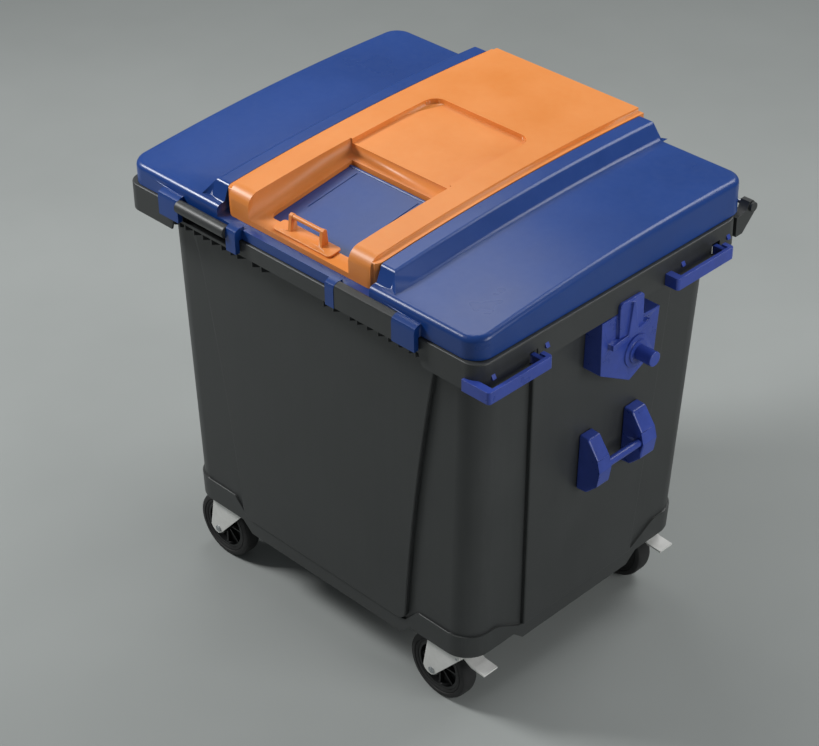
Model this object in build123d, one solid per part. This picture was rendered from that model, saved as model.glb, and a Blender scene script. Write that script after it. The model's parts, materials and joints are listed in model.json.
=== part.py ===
"""Four-wheeled 1100 litre waste container with an arched lid and a lid in the lid.

The tub stands on four swivel castors.  X runs along the long side, Y runs from the
front to the hinge side and Z is up.  The ground is Z = 0.  Sizes are millimetres.
"""

from build123d import *
import math
import os

os.makedirs("parts", exist_ok=True)

# ---------------------------------------------------------------- driving dimensions
RIM_WIDTH = 1260.0          # outside of the rim, along X
RIM_DEPTH = 950.0           # outside of the rim, along Y
RIM_TOP = 1196.0            # height of the rim's flat top
LID_RISE = 94.0             # middle of the lid's roof above the rim
WHEEL_RADIUS = 99.0         # tyre radius of the 200 mm castors
TYRE_WIDTH = 50.0
PIN_RADIUS = 20.0           # lifting trunnions
PIN_REACH = 58.0            # end of a trunnion pin beyond the rim
WALL = 6.0                  # tub wall
LID_WALL = 4.5              # lid wall
GAP = 0.6                   # play between parts that move past each other
RUNNING = 0.05              # radial play of a pin in its bore

half_width = RIM_WIDTH / 2
rim_front = -RIM_DEPTH / 2
rim_rear = RIM_DEPTH / 2

# ---------------------------------------------------------------- tub
CORNER_SKIRT_Z = WHEEL_RADIUS * 2 + 11
MIDDLE_SKIRT_Z = CORNER_SKIRT_Z - 31
FLOOR_UNDERSIDE = CORNER_SKIRT_Z + 29
FLOOR_THICKNESS = 8.0
FLOOR_TOP = FLOOR_UNDERSIDE + FLOOR_THICKNESS
PAD_RISE = 18.0
RIM_CORNER = 45.0
RIM_SKIRT = 77.0
FRONT_RIM_SKIRT = 43.0
RIM_THICKNESS = 5.0
COLUMN_CORNER = 68.0
FRONT_PANEL_STEP = 13.0
SIDE_PANEL_STEP = 13.0
PLINTH_STEP = 6.0
PLINTH_TOP = CORNER_SKIRT_Z + 67
PANEL_FOOT = CORNER_SKIRT_Z + 19
PANEL_HEAD = RIM_TOP - 4
EDGE_ROUND = 4.0
RIB_THICKNESS = 4.0
FLOOR_RIB = 5.0
FLOOR_RIB_FOOT = MIDDLE_SKIRT_Z + 26
POCKET_DEPTH = 34.0
rim_bottom = RIM_TOP - RIM_SKIRT
front_rim_bottom = RIM_TOP - FRONT_RIM_SKIRT

COLUMN_LOW = (MIDDLE_SKIRT_Z, half_width - 102, rim_front + 71, rim_rear - 64)
COLUMN_HIGH = (RIM_TOP - 46, half_width - 64, rim_front + 72, rim_rear - 5)
FRONT_PANEL_HALVES = (half_width - 316, half_width - 262, half_width - 174)
SIDE_PANEL_FOOT = (rim_front + 265, rim_rear - 266)
SIDE_PANEL_HEAD = (rim_front + 247, rim_rear - 179)
GUSSET_INSETS = (518, 484, 427, 402, 368, 330, 296, 262, 228, 206, 186)

# ---------------------------------------------------------------- front grips
LEFT_EARS = ((-475.0, -400.0), (-216.0, -180.0))
RIGHT_EARS = ((143.0, 173.0), (368.0, 443.0))
EAR_THICKNESS = 14.0
EAR_DROP = 33.0
EAR_RISE = 36.0
GRIP_RADIUS = 17.0
ear_back = rim_front - 3
ear_front = ear_back - EAR_THICKNESS

# ---------------------------------------------------------------- lids
LID_INSET = 10.0
OVER_LID = RIM_TOP + LID_RISE + 210      # a height above everything
LID_BOTTOM = RIM_TOP + 2
LID_CORNER = 52.0
ORANGE_HALF = 268.0         # half width of the inner lid
ORANGE_RISE = 50.0
RAIL_WIDTH = 90.0
FLANGE_WIDTH = 18.0
FLANGE_STEP = 9.0
LEDGE_WIDTH = 28.0
CHANNEL_GAP = 3.0
RIDGE_RISE = 40.0
CHANNEL_HALF = ORANGE_HALF + CHANNEL_GAP
RIDGE_TOP_HALF = ORANGE_HALF + 47
RIDGE_FOOT_HALF = RIDGE_TOP_HALF + 30
WELL_HALF = ORANGE_HALF - RAIL_WIDTH
APERTURE_HALF = WELL_HALF - LEDGE_WIDTH
DECK_HOLE_HALF = APERTURE_HALF + 18
DECK_DROP = 15.0
DECK_LIFT = 2.0
PANEL_HALF = WELL_HALF - 6
PANEL_SINK = 13.0
lid_front = rim_front + 7
lid_rear = rim_rear + 30
DECK_HOLE_FRONT = lid_front + 36
DECK_HOLE_REAR = lid_rear - 205
WELL_REAR = lid_front + 373
PANEL_REAR = lid_rear - 303
lid_mid_z = RIM_TOP + LID_RISE
lid_front_z = lid_mid_z - 34
lid_rear_z = lid_mid_z + 2
lid_half = half_width - LID_INSET
hinge_y = rim_rear + 57
hinge_z = RIM_TOP - 4
HINGE_ROD_RADIUS = 6.0
inner_hinge_y = lid_rear + 2
ledge_front_z = lid_front_z - 12
LEDGE_SLOPE = math.tan(math.radians(8.2))
inner_front = lid_front + 23
inner_rear = lid_rear + 15

# ---------------------------------------------------------------- castors
KINGPIN_X = half_width - 207
KINGPIN_FRONT_Y = rim_front + 123
KINGPIN_REAR_Y = rim_rear - 131
TRAIL = 32.0
KINGPIN_RADIUS = 8.0
AXLE_RADIUS = 6.0
FORK_HALF = 45.0
FORK_PLATE = 4.0
hub_half = FORK_HALF - FORK_PLATE - GAP
crown_bottom = WHEEL_RADIUS * 2 + 2.5
crown_top = crown_bottom + 4.5
PLATE_THICKNESS = 6.0
plate_bottom = FLOOR_UNDERSIDE - PLATE_THICKNESS
PLATE_SHIFT = 6.0           # the plate's middle lies behind the kingpin
BOLT_X, BOLT_Y = 52.0, 36.0
BOLT_RADIUS = 5.0
KINGPIN_HEAD = 14.0

# the stored frame sits under the middle of the whole outline, grip tube to hinge brackets
BRACKET_REACH = 15.0
grip_y = rim_front - 11
grip_z = RIM_TOP + 15
FRAME_SHIFT = -((grip_y - GRIP_RADIUS) + (hinge_y + BRACKET_REACH)) / 2


# ---------------------------------------------------------------- drawing helpers
def along_x(points, start, end):
    """A prism whose outline is drawn in Y and Z and which runs from X start to X end."""
    outline = Polyline(*[(start, y, z) for y, z in points], close=True)
    return extrude(make_face(outline), amount=end - start, dir=(1, 0, 0))


def along_y(points, start, end):
    """A prism whose outline is drawn in X and Z and which runs from Y start to Y end."""
    outline = Polyline(*[(x, start, z) for x, z in points], close=True)
    return extrude(make_face(outline), amount=end - start, dir=(0, 1, 0))


def block(x_range, y_range, z_range):
    """A rectangular block between two limits on each axis."""
    size = [r[1] - r[0] for r in (x_range, y_range, z_range)]
    middle = [(r[1] + r[0]) / 2 for r in (x_range, y_range, z_range)]
    return Pos(*middle) * Box(*size)


def rod_x(radius, start, end, y, z):
    """A round bar along X."""
    return Pos((start + end) / 2, y, z) * Rot(0, 90, 0) * Cylinder(radius, end - start)


def rod_y(radius, start, end, x, z):
    """A round bar along Y."""
    return Pos(x, (start + end) / 2, z) * Rot(90, 0, 0) * Cylinder(radius, end - start)


def rod_z(radius, start, end, x, y):
    """A round bar along Z."""
    return Pos(x, y, (start + end) / 2) * Cylinder(radius, end - start)


def plan(z, half, front, rear, corner):
    """A rounded rectangle at height z."""
    return Pos(0, (front + rear) / 2, z) * RectangleRounded(2 * half, rear - front, corner)


def mirrored_pair(shape):
    """The shape and its mirror image about the middle plane X = 0."""
    return [shape, mirror(shape, about=Plane.YZ)]


def save(name, shape):
    """Write one node, moved into the stored frame."""
    solids = shape.solids() if hasattr(shape, "solids") else [s for p in shape for s in p.solids()]
    placed = [Pos(0, FRAME_SHIFT, 0) * s for s in solids]
    export_step(placed[0] if len(placed) == 1 else Compound(children=placed), f"parts/{name}.step")


# ---------------------------------------------------------------- tub
def column_at(z):
    """Half width, front and rear of the tub's corner columns at height z."""
    share = (z - COLUMN_LOW[0]) / (COLUMN_HIGH[0] - COLUMN_LOW[0])
    return [low + share * (high - low) for low, high in zip(COLUMN_LOW[1:], COLUMN_HIGH[1:])]


wall_front = column_at((COLUMN_LOW[0] + COLUMN_HIGH[0]) / 2)[1]


def column_loft(low_z, high_z, grow=0.0):
    """The tapering tub body between two heights, grown outwards by a margin."""
    sections = []
    for z in (low_z, high_z):
        half, front, rear = column_at(z)
        corner = COLUMN_CORNER + grow
        sections.append(plan(z, half + grow, front - grow, rear + grow, corner))
    return loft(sections)


def front_panel(shrink=0.0, low_z=PANEL_FOOT, high_z=PANEL_HEAD):
    """The raised front panel, wide at the top and narrow at the foot."""
    front = wall_front - FRONT_PANEL_STEP + shrink
    back = wall_front + 40
    foot, waist, head = [half - shrink for half in FRONT_PANEL_HALVES]
    middle_z = (low_z + high_z) / 2
    lines = [
        Line((-foot, front, low_z), (foot, front, low_z)),
        ThreePointArc((foot, front, low_z), (waist, front, middle_z), (head, front, high_z)),
        Line((head, front, high_z), (-head, front, high_z)),
        ThreePointArc((-head, front, high_z), (-waist, front, middle_z), (-foot, front, low_z)),
    ]
    panel = extrude(make_face(lines), amount=back - front, dir=(0, 1, 0))
    if shrink == 0:
        low_corners = panel.edges().filter_by(Axis.Y).sort_by(Axis.Z)[:2]
        panel = fillet(low_corners, 34)
        rim_edges = panel.faces().sort_by(Axis.Y)[0].edges()
        panel = fillet(rim_edges, EDGE_ROUND)
    return panel


def side_panel(side, shrink=0.0, low_z=PANEL_FOOT, high_z=PANEL_HEAD):
    """The raised side panel; its face follows the leaning side wall."""
    sections = []
    for z, (y_front, y_rear) in ((low_z, SIDE_PANEL_FOOT), (high_z, SIDE_PANEL_HEAD)):
        outer = column_at(z)[0] + SIDE_PANEL_STEP - shrink
        inner = outer - 50
        size_y = (y_rear - y_front) - 2 * shrink
        middle = (side * (outer + inner) / 2, (y_front + y_rear) / 2, z)
        sections.append(Pos(*middle) * Rectangle(outer - inner, size_y))
    panel = loft(sections)
    if shrink == 0:
        outer_face = panel.faces().sort_by(Axis.X)[-1 if side > 0 else 0]
        panel = fillet(outer_face.edges(), EDGE_ROUND)
    return panel


def wave(half, low, high, run):
    """Points of a line that is low in the middle and climbs at both ends."""
    steps = [0.0, 0.15, 0.5, 0.85, 1.0]
    lift = [0.0, 0.06, 0.5, 0.94, 1.0]
    climb = [(half + run * s, low + (high - low) * t) for s, t in zip(steps, lift)]
    return climb


def plinth():
    """The proud foot band; its top edge dips below the raised panels."""
    band = column_loft(COLUMN_LOW[0], PLINTH_TOP, PLINTH_STEP)
    dips = []
    for half, run, draw, reach in ((half_width - 330, 60, along_y, rim_rear),
                                   (rim_rear - 267, 110, along_x, half_width)):
        climb = wave(half, PANEL_FOOT - 2, PLINTH_TOP, run)
        fall = [(-place, z) for place, z in reversed(climb)]
        end, roof = half + run, PLINTH_TOP + 5
        dips.append(draw([(-end, roof)] + fall + climb + [(end, roof)], -reach, reach))
    return band - dips


def castor_notches():
    """Space under the four corners, where the skirt is shorter so that wheels can turn."""
    low = MIDDLE_SKIRT_Z - 20
    spaces = []
    for edge, inset, draw, reach in ((half_width, 305, along_y, RIM_DEPTH), (rim_rear, 235, along_x, RIM_WIDTH)):
        notch, slope = edge - inset, edge - inset - 35
        line = [(edge, low), (edge, CORNER_SKIRT_Z), (notch, CORNER_SKIRT_Z), (slope, MIDDLE_SKIRT_Z)]
        other = [(-place, z) for place, z in reversed(line)]
        spaces.append(draw(line + other, -reach, reach))
    return spaces[0] & spaces[1]


def rim():
    """The downturned rim with its flat top, its shorter front lip and two hand pockets."""
    outer = extrude(plan(rim_bottom, half_width, rim_front, rim_rear, RIM_CORNER), amount=RIM_SKIRT)
    outer = fillet(outer.faces().sort_by(Axis.Z)[-1].edges(), EDGE_ROUND)
    inner_plan = plan(rim_bottom - 1, half_width - RIM_THICKNESS, rim_front + RIM_THICKNESS,
                      rim_rear - RIM_THICKNESS, RIM_CORNER - RIM_THICKNESS)
    shell = outer - extrude(inner_plan, amount=RIM_SKIRT + 1 - RIM_THICKNESS)
    lip_half = half_width - 190
    lip_cut = along_y([(-lip_half - 12, rim_bottom - 5), (-lip_half, front_rim_bottom),
                       (lip_half, front_rim_bottom), (lip_half + 12, rim_bottom - 5)],
                      rim_front - 5, rim_front + 30)
    shell -= lip_cut
    for ears in (LEFT_EARS, RIGHT_EARS):
        x_range = (ears[0][1] - 3, ears[1][0] + 3)
        pocket_z = (RIM_TOP - EAR_DROP - 2, RIM_TOP + 5)
        liner = block((x_range[0] - 4, x_range[1] + 4),
                      (rim_front + 0.5, rim_front + POCKET_DEPTH + 4), (pocket_z[0] - 4, RIM_TOP - 0.5))
        cut = block(x_range, (rim_front - 5, rim_front + POCKET_DEPTH), pocket_z)
        shell = shell + liner - cut
    return shell


def gussets():
    """Thin ribs that hold the front lip out from the wall."""
    wall_y = wall_front - FRONT_PANEL_STEP + 2
    lip_y = rim_front + RIM_THICKNESS - 1
    low = front_rim_bottom - 23
    shape = [(wall_y, RIM_TOP - 40), (lip_y, RIM_TOP - 40), (lip_y, low + 4), (lip_y + 9, low),
             (wall_y, low - 22)]
    ribs = []
    for inset in GUSSET_INSETS:
        x = half_width - inset
        ribs += mirrored_pair(along_x(shape, x - RIB_THICKNESS / 2, x + RIB_THICKNESS / 2))
    return ribs


def corner_gussets():
    """Short ribs under the rim along both sides."""
    ribs = []
    half = column_at(RIM_TOP - 60)[0] - 1
    for y in (rim_front + 80, rim_front + 145, -120, 0, 120, rim_rear - 145, rim_rear - 80):
        shape = [(half, RIM_TOP - 3), (half_width - 3, RIM_TOP - 3), (half_width - 3, rim_bottom + 18),
                 (half, rim_bottom - 6)]
        ribs += mirrored_pair(along_y(shape, y - RIB_THICKNESS / 2, y + RIB_THICKNESS / 2))
    return ribs


def castor_pads():
    """Thick pads in the floor that take the castor bolts."""
    half_x, half_y = BOLT_X + 24, BOLT_Y + 14
    pads = []
    for x, y in castor_places():
        middle = y + PLATE_SHIFT
        pads.append(block((x - half_x, x + half_x), (middle - half_y, middle + half_y),
                          (FLOOR_UNDERSIDE, FLOOR_TOP + PAD_RISE)))
    return pads


def castor_places():
    """Kingpin places: front left, front right, rear left, rear right."""
    return [(side * KINGPIN_X, y) for y in (KINGPIN_FRONT_Y, KINGPIN_REAR_Y) for side in (-1, 1)]


def bolt_places():
    """The four bolts of every castor plate."""
    return [(x + dx, y + dy + PLATE_SHIFT) for x, y in castor_places()
            for dx in (-BOLT_X, BOLT_X) for dy in (-BOLT_Y, BOLT_Y)]


def floor_ribs():
    """Stiffening ribs under the floor, clear of the turning castors."""
    ribs = []
    half, heights = FLOOR_RIB / 2, (FLOOR_RIB_FOOT, FLOOR_UNDERSIDE + 1)
    for x in (-RIB_X, -RIB_X / 3, RIB_X / 3, RIB_X):
        ribs.append(block((x - half, x + half), (rim_front + 77, rim_rear - 69), heights))
    for y in (RIB_FRONT_Y, 0, RIB_REAR_Y):
        ribs.append(block((107 - half_width, half_width - 107), (y - half, y + half), heights))
    return ribs


RIB_X = KINGPIN_X - 183
RIB_FRONT_Y = KINGPIN_FRONT_Y + 166
RIB_REAR_Y = KINGPIN_REAR_Y - 158
RIM_HANDLES = {"front": (rim_front - 8, rim_front + 207), "rear": (rim_rear - 292, rim_rear - 75)}
HANDLE_Z = (RIM_TOP - 75, RIM_TOP - 42)
HANDLE_REACH = 42.0
HANDLE_BAR = 11.0


def handle_slots():
    """Square slots in the right rim face, one for the rear arm of each rim handle."""
    cuts = []
    for y_front, y_rear in RIM_HANDLES.values():
        arm = y_rear - 14
        cuts.append(block((half_width - 12, half_width + 5), (arm - 22, arm + 8),
                          (HANDLE_Z[0] + 4, HANDLE_Z[1] + 4)))
    return cuts


def tub():
    """The one-piece moulded tub."""
    outer = column_loft(COLUMN_LOW[0], PANEL_HEAD)
    outer = outer + front_panel() + side_panel(1) + side_panel(-1)
    outer = outer + plinth() + rim()
    inner = column_loft(FLOOR_TOP, RIM_TOP + 5, -WALL)
    inner = inner + front_panel(WALL, FLOOR_TOP, RIM_TOP - RIM_THICKNESS)
    for side in (-1, 1):
        inner = inner + side_panel(side, WALL, FLOOR_TOP, RIM_TOP - RIM_THICKNESS)
    under = column_loft(COLUMN_LOW[0] - 5, FLOOR_UNDERSIDE, -WALL)
    body = outer - inner - under
    body = body + gussets() + corner_gussets() + castor_pads() + floor_ribs()
    body = body - castor_notches()
    holes = [rod_z(BOLT_RADIUS, FLOOR_UNDERSIDE - 1, FLOOR_TOP + 8, x, y) for x, y in bolt_places()]
    kingpin_holes = [rod_z(KINGPIN_HEAD + 1, FLOOR_UNDERSIDE - 1, FLOOR_TOP + 1, x, y)
                     for x, y in castor_places()]
    drain = rod_z(DRAIN_RADIUS, FLOOR_UNDERSIDE - 5, FLOOR_TOP + 5, DRAIN_X, DRAIN_Y)
    return body - holes - kingpin_holes - drain - handle_slots()


# ---------------------------------------------------------------- drain
DRAIN_RADIUS = 21.0
DRAIN_FLANGE = DRAIN_RADIUS + 10
SEAL_THICKNESS = 3.0
DRAIN_X, DRAIN_Y = RIB_X * 2 / 3, RIB_REAR_Y / 2
seal_bottom = FLOOR_UNDERSIDE - SEAL_THICKNESS
flange_bottom = seal_bottom - 6


def drain_plug():
    """Drain plug with a flange under the floor and a grip bar."""
    plug = rod_z(DRAIN_RADIUS, seal_bottom, FLOOR_TOP, DRAIN_X, DRAIN_Y)
    flange = rod_z(DRAIN_FLANGE, flange_bottom, seal_bottom, DRAIN_X, DRAIN_Y)
    bar = block((DRAIN_X - DRAIN_FLANGE + 5, DRAIN_X + DRAIN_FLANGE - 5), (DRAIN_Y - 4, DRAIN_Y + 4),
                (flange_bottom - 13, flange_bottom))
    return plug + flange + bar


def drain_seal():
    """Flat rubber ring between the plug's flange and the floor."""
    ring = rod_z(DRAIN_FLANGE - 1, seal_bottom, FLOOR_UNDERSIDE, DRAIN_X, DRAIN_Y)
    return ring - rod_z(DRAIN_RADIUS, seal_bottom - 1, FLOOR_UNDERSIDE + 1, DRAIN_X, DRAIN_Y)


# ---------------------------------------------------------------- trunnions
PIN_Y, PIN_Z = 88.0, RIM_TOP - 220
TRUNNION_FACE = half_width - 2
TRUNNION_WALL = 5.0
PIN_ROOT_RADIUS = PIN_RADIUS - 2
COLLAR_RADIUS = PIN_RADIUS + 13
DISC_RADIUS = PIN_RADIUS + 26
SOCKET_DEPTH = 30.0
TONGUE_Y = (PIN_Y - 79, PIN_Y + 9)
TONGUE_REACH = 9.0
COLLAR_FACE = half_width + 8


def trunnion_outline(shrink=0.0):
    """Outline of the trunnion box in Y and Z."""
    s, y, z = shrink, PIN_Y, PIN_Z
    return [(y - 132 + s, z - 14 + s), (y - 132 + s, z + 137 - s), (y + 11, z + 137 - s),
            (y + 24, z + 96 - s), (y + 84 - s, z + 92 - s), (y + 70 - s, z - 36 + s), (y - 22, z - 79 + s)]


def trunnion_plate():
    """Right-hand trunnion box: a face plate on side flanges, a tongue on the rim and a collar."""
    wall_x = column_at(PIN_Z + 24)[0] + SIDE_PANEL_STEP
    shell = along_x(trunnion_outline(), wall_x - 10, TRUNNION_FACE)
    hollow = along_x(trunnion_outline(TRUNNION_WALL), wall_x - 20, TRUNNION_FACE - TRUNNION_WALL)
    shell = shell - hollow
    shell = shell - side_panel(1) - tub_body()
    rim_cut = block((0, half_width), (rim_front, rim_rear), (rim_bottom, RIM_TOP))
    shell = shell - rim_cut
    tongue_face = half_width + TONGUE_REACH
    tongue_top, tongue_foot = rim_bottom + 28, rim_bottom - 59
    tongue = block((half_width, tongue_face), TONGUE_Y, (tongue_foot, tongue_top))
    tongue = fillet(tongue.edges().filter_by(Axis.X).sort_by(Axis.Z)[-2:], 12)
    web_z = (tongue_foot - 10, rim_bottom - GAP)
    web = block((TRUNNION_FACE - TRUNNION_WALL, tongue_face), TONGUE_Y, web_z)
    rib_y, rib_foot = sum(TONGUE_Y) / 2, tongue_foot - 15
    rib_line = [(rib_y - 4, tongue_top - 6), (rib_y + 4, tongue_top - 6), (rib_y + 20, rib_foot),
                (rib_y - 20, rib_foot)]
    rib = along_x(rib_line, tongue_face - 1, tongue_face + 8)
    brow_line = [(PIN_Y - 108, PIN_Z + 54), (PIN_Y - 108, PIN_Z + 70), (PIN_Y + 30, PIN_Z + 86),
                 (PIN_Y + 30, PIN_Z + 70)]
    brow = along_x(brow_line, TRUNNION_FACE - 1, tongue_face + 6)
    collar = rod_x(COLLAR_RADIUS, TRUNNION_FACE - 8, COLLAR_FACE, PIN_Y, PIN_Z)
    disc = rod_x(DISC_RADIUS, TRUNNION_FACE - 8, TRUNNION_FACE + 5, PIN_Y, PIN_Z)
    socket = rod_x(PIN_ROOT_RADIUS, TRUNNION_FACE - SOCKET_DEPTH, COLLAR_FACE + 5, PIN_Y, PIN_Z)
    boss = rod_x(PIN_RADIUS + 8, wall_x + 5, TRUNNION_FACE - 2, PIN_Y, PIN_Z)
    return shell + tongue + web + rib + brow + disc + collar + boss - socket


def trunnion_pin():
    """Right-hand lifting pin: a rounded free end with a shoulder and a thinner root in the socket."""
    pin = rod_x(PIN_RADIUS, COLLAR_FACE, half_width + PIN_REACH, PIN_Y, PIN_Z)
    pin = fillet(pin.faces().sort_by(Axis.X)[-1].edges(), 2.5)
    return pin + rod_x(PIN_ROOT_RADIUS, TRUNNION_FACE - SOCKET_DEPTH, COLLAR_FACE + 1, PIN_Y, PIN_Z)


# ---------------------------------------------------------------- side handles
WALL_BRACKETS = ((PIN_Y - 128, PIN_Y - 83), (PIN_Y + 40, PIN_Y + 92))
WALL_BAR_X, WALL_BAR_Z = half_width - 13, RIM_TOP - 528
WALL_BAR_RADIUS = 11.0


def wall_bracket(y_range):
    """One bracket of the side wall handle, a deep tapering block."""
    profile = [(-77, -86), (-27, -82), (9, -46), (17, 0), (9, 32), (-23, 84), (-77, 88)]
    outline = [(WALL_BAR_X + dx, WALL_BAR_Z + dz) for dx, dz in profile]
    shape = along_y(outline, *y_range)
    shape = fillet(shape.edges().filter_by(Axis.Y).sort_by(Axis.X)[-3:], 14)
    return shape - side_panel(1) - tub_body()


def tub_body():
    """The tub's tapering outside, for cutting what is fastened to it."""
    return column_loft(COLUMN_LOW[0], PANEL_HEAD)


def wall_brackets():
    """The two brackets of the right-hand wall handle, bored for the bar."""
    bar = wall_bar()
    return [wall_bracket(y_range) - bar for y_range in WALL_BRACKETS]


def wall_bar():
    """Round bar between the two brackets."""
    return rod_y(WALL_BAR_RADIUS, WALL_BRACKETS[0][1] - 18, WALL_BRACKETS[1][0] + 18,
                 WALL_BAR_X, WALL_BAR_Z)


def rim_handle(y_range):
    """Flat U-shaped handle on the right rim face."""
    y_front, y_rear = y_range
    outer_x = half_width + HANDLE_REACH
    bar = block((outer_x - HANDLE_BAR, outer_x), (y_front, y_rear), HANDLE_Z)
    front_arm = block((half_width - RIM_CORNER, outer_x), (y_front, y_front + 22), HANDLE_Z)
    front_arm -= extrude(plan(rim_bottom, half_width, rim_front, rim_rear, RIM_CORNER), amount=RIM_SKIRT)
    rear_arm = block((half_width - 5, outer_x), (y_rear - 28, y_rear - 14),
                     (HANDLE_Z[0] + 5, HANDLE_Z[1] - 4))
    tail = block((half_width + 12, outer_x), (y_rear - 14, y_rear), HANDLE_Z)
    web = block((half_width + 6, outer_x), (y_front + 4, y_rear - 2), (HANDLE_Z[0], HANDLE_Z[0] + 5))
    body = bar + front_arm + rear_arm + tail + web
    round_edges = body.edges().filter_by(Axis.Z).group_by(Axis.X)[-1]
    return fillet(round_edges, 9)


def rim_clips():
    """Small triangular snap heads above the rim handles."""
    clips = []
    head_z = HANDLE_Z[1] - 8
    for y in (rim_front + 50, rim_front + 231, rim_rear - 225, rim_rear - 49):
        head = along_y([(half_width, head_z), (half_width + 6, head_z + 2), (half_width, head_z + 14)],
                       y - 6, y + 6)
        clips.append(head)
    return clips


# ---------------------------------------------------------------- main lid
def arc_points(lift, front, rear):
    """Three points of the roof line, lifted by a margin, from front to rear."""
    centre_y, centre_z, radius = roof_circle()
    out = []
    for y in (front, (front + rear) / 2, rear):
        out.append((y, centre_z + math.sqrt(radius ** 2 - (y - centre_y) ** 2) + lift))
    return out


def roof_circle():
    """Centre and radius of the circle through the roof's front, middle and rear."""
    (y1, z1), (y2, z2), (y3, z3) = (lid_front, lid_front_z), (0.0, lid_mid_z), (lid_rear, lid_rear_z)
    d = 2 * (y1 * (z2 - z3) + y2 * (z3 - z1) + y3 * (z1 - z2))
    s1, s2, s3 = y1 ** 2 + z1 ** 2, y2 ** 2 + z2 ** 2, y3 ** 2 + z3 ** 2
    centre_y = (s1 * (z2 - z3) + s2 * (z3 - z1) + s3 * (z1 - z2)) / d
    centre_z = (s1 * (y3 - y2) + s2 * (y1 - y3) + s3 * (y2 - y1)) / d
    return centre_y, centre_z, math.hypot(y1 - centre_y, z1 - centre_z)


def roof_z(y, lift=0.0):
    """Height of the roof line at depth y."""
    centre_y, centre_z, radius = roof_circle()
    return centre_z + math.sqrt(radius ** 2 - (y - centre_y) ** 2) + lift


def ledge_z(y, lift=0.0):
    """Height of the sloping ledge plane of the throw-in well at depth y."""
    return ledge_front_z + (y - inner_front) * LEDGE_SLOPE + lift


def roof_face(x, lift, front, rear, base, front_foot=None):
    """A face at X = x below the roof line; front_foot slants the front end."""
    a, b, c = arc_points(lift, front, rear)
    foot = front if front_foot is None else front_foot
    lines = [
        ThreePointArc((x, *a), (x, *b), (x, *c)),
        Line((x, *c), (x, rear, base)),
        Line((x, rear, base), (x, foot, base)),
        Line((x, foot, base), (x, *a)),
    ]
    return make_face(lines)


def under_roof(start, end, lift, front, rear, base, front_foot=None):
    """The space below the roof line between two X limits."""
    face = roof_face(start, lift, front, rear, base, front_foot)
    return extrude(face, amount=end - start, dir=(1, 0, 0))


def ridge(shrink=0.0):
    """The raised middle of the lid with sloping sides and a sloping front."""
    base = LID_BOTTOM + 30
    front_top, front_foot = lid_front + 43, lid_front + 14
    rear = lid_rear - shrink
    top_half = RIDGE_TOP_HALF - shrink
    lift = RIDGE_RISE - shrink
    middle = under_roof(-top_half, top_half, lift, front_top + shrink, rear, base, front_foot + shrink)
    high = roof_face(top_half, lift, front_top + shrink, rear, base, front_foot + shrink)
    low = roof_face(RIDGE_FOOT_HALF - shrink, -shrink - 1, front_foot + shrink, rear, base)
    side = loft([high, low])
    return middle + side + mirror(side, about=Plane.YZ)


def deck_cut(shrink=0.0):
    """The space over the sunk middle deck, where the inner lid lies."""
    half = CHANNEL_HALF + shrink
    drop = DECK_DROP + shrink
    front = lid_front - 40
    rear = lid_rear + 60
    deck = [(y, roof_z(y, DECK_LIFT - shrink)) for y in deck_steps()]
    shape = [(front, ledge_z(front, -drop)), (WELL_REAR - 20, ledge_z(WELL_REAR - 20, -drop)), *deck,
             (rear, deck[-1][1]), (rear, OVER_LID), (front, OVER_LID)]
    return along_x(shape, -half, half)


def deck_steps():
    """Depths at which the deck line behind the well bends with the roof."""
    knee = WELL_REAR + 40
    return [knee + (lid_rear - knee) * share / 3 for share in range(4)]


def lid_blank(shrink=0.0):
    """The lid's outer shape, or the same shape pulled in by a margin."""
    base = LID_BOTTOM - (3 if shrink else 0)
    outline = plan(base, lid_half - shrink, lid_front + shrink, lid_rear - shrink, LID_CORNER - shrink)
    block_up = extrude(outline, amount=OVER_LID - base)
    roof = under_roof(-half_width, half_width, -shrink, lid_front - 60, lid_rear + 60, base - 10)
    blank = block_up & roof
    top_edges = blank.faces().sort_by(Axis.Z)[-1].edges()
    blank = fillet(top_edges, 16 - shrink)
    blank = blank + ridge(shrink)
    return blank - deck_cut(shrink)


def ear(x_range):
    """One ear that hangs from the lid in front of the rim."""
    low, top = RIM_TOP - EAR_DROP, RIM_TOP + EAR_RISE
    shape = [(ear_front, low), (ear_back, low), (ear_back, LID_BOTTOM + 1), (lid_front + 8, LID_BOTTOM + 1),
             (lid_front + 8, top), (ear_front + 14, top), (ear_front + 3, top - 6), (ear_front, top - 16)]
    return along_x(shape, *x_range)


def lid_knuckles():
    """Hinge knuckles behind the lid's rear skirt."""
    knuckles = []
    for x in KNUCKLE_PLACES:
        start, end = x - KNUCKLE_HALF, x + KNUCKLE_HALF
        barrel = rod_x(HINGE_ROD_RADIUS + 8, start, end, hinge_y, hinge_z)
        web = along_x([(lid_rear - 6, LID_BOTTOM + 2), (lid_rear - 6, LID_BOTTOM + 40),
                       (hinge_y + 4, hinge_z + 12), (hinge_y - 2, hinge_z - 10)], start, end)
        knuckles += mirrored_pair(barrel + web)
    return knuckles


def main_lid():
    """The blue lid: arched shell, raised middle, sunk deck with its hole, ears and knuckles."""
    shell = lid_blank() - lid_blank(LID_WALL)
    hole = block((-DECK_HOLE_HALF, DECK_HOLE_HALF), (DECK_HOLE_FRONT, DECK_HOLE_REAR), (RIM_TOP, OVER_LID))
    shell = shell - fillet(hole.edges().filter_by(Axis.Z), 24)
    for x_range in LEFT_EARS + RIGHT_EARS:
        shell = shell + ear(x_range)
    shell = shell + lid_knuckles()
    rod_bore = rod_x(HINGE_ROD_RADIUS + RUNNING, -half_width, half_width, hinge_y, hinge_z)
    return shell - rod_bore - grip_spigots() - inner_pins()


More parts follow.
